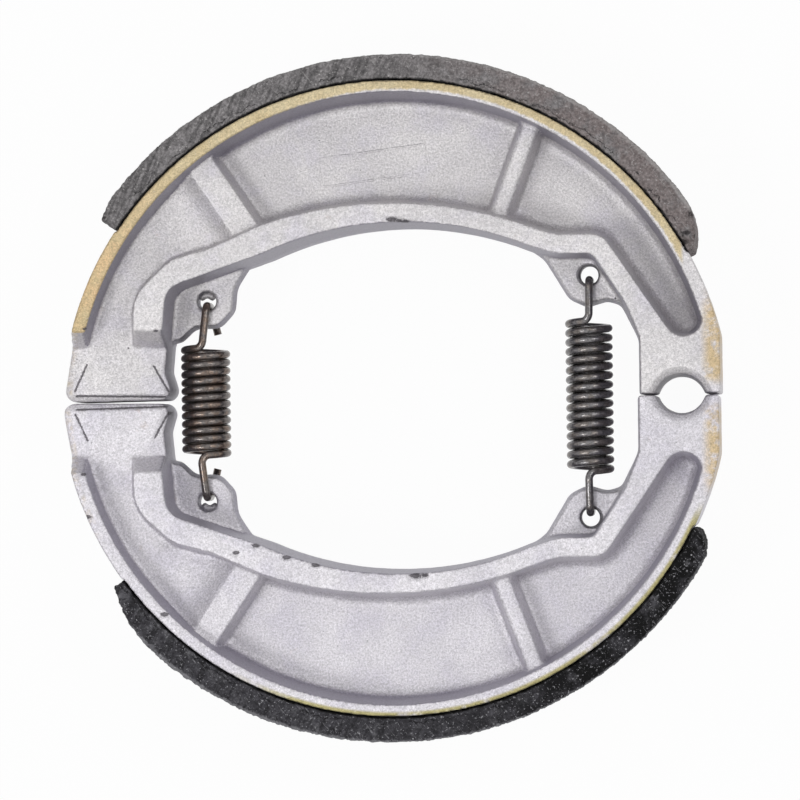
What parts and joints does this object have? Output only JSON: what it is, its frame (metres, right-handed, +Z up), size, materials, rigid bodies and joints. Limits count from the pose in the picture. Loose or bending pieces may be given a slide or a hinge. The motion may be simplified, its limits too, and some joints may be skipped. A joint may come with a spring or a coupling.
{
  "type": "brake shoe pair",
  "caption": "Pair of cast drum brake shoes with bonded friction linings, held together by two coil return springs.",
  "frame": {"origin": "on the parting line between the two shoes, under the drum's axis, on the face the pair lies on", "axes": "+X to the anchor pin end, +Y to the upper shoe, +Z up along the drum's axis"},
  "size_m": [0.1015, 0.1054, 0.025],
  "materials": {
    "cast_aluminium": "sandy die-cast surface, lightly stained",
    "grey_lining": "moulded friction material, dull grey",
    "dark_lining": "moulded friction material, near black",
    "spring_steel": "oil-darkened spring wire"
  },
  "bodies": {
    "lower": {"lower_shoe": "cast_aluminium", "lower_lining": "dark_lining", "cam_side_spring": "spring_steel", "pin_side_spring": "spring_steel"},
    "upper": {"upper_shoe": "cast_aluminium", "upper_lining": "grey_lining"}
  },
  "joints": [
    {"name": "shoe_opening", "type": "hinge", "parent": "lower", "child": "upper", "pos_m": [0.0499, 0, 0.0125], "axis": [0, 0, -1], "range_deg": [0, 8], "stiffness_Nm_per_rad": 39, "springref_deg": -4.58, "deforming": ["cam_side_spring", "pin_side_spring"]}
  ]
}
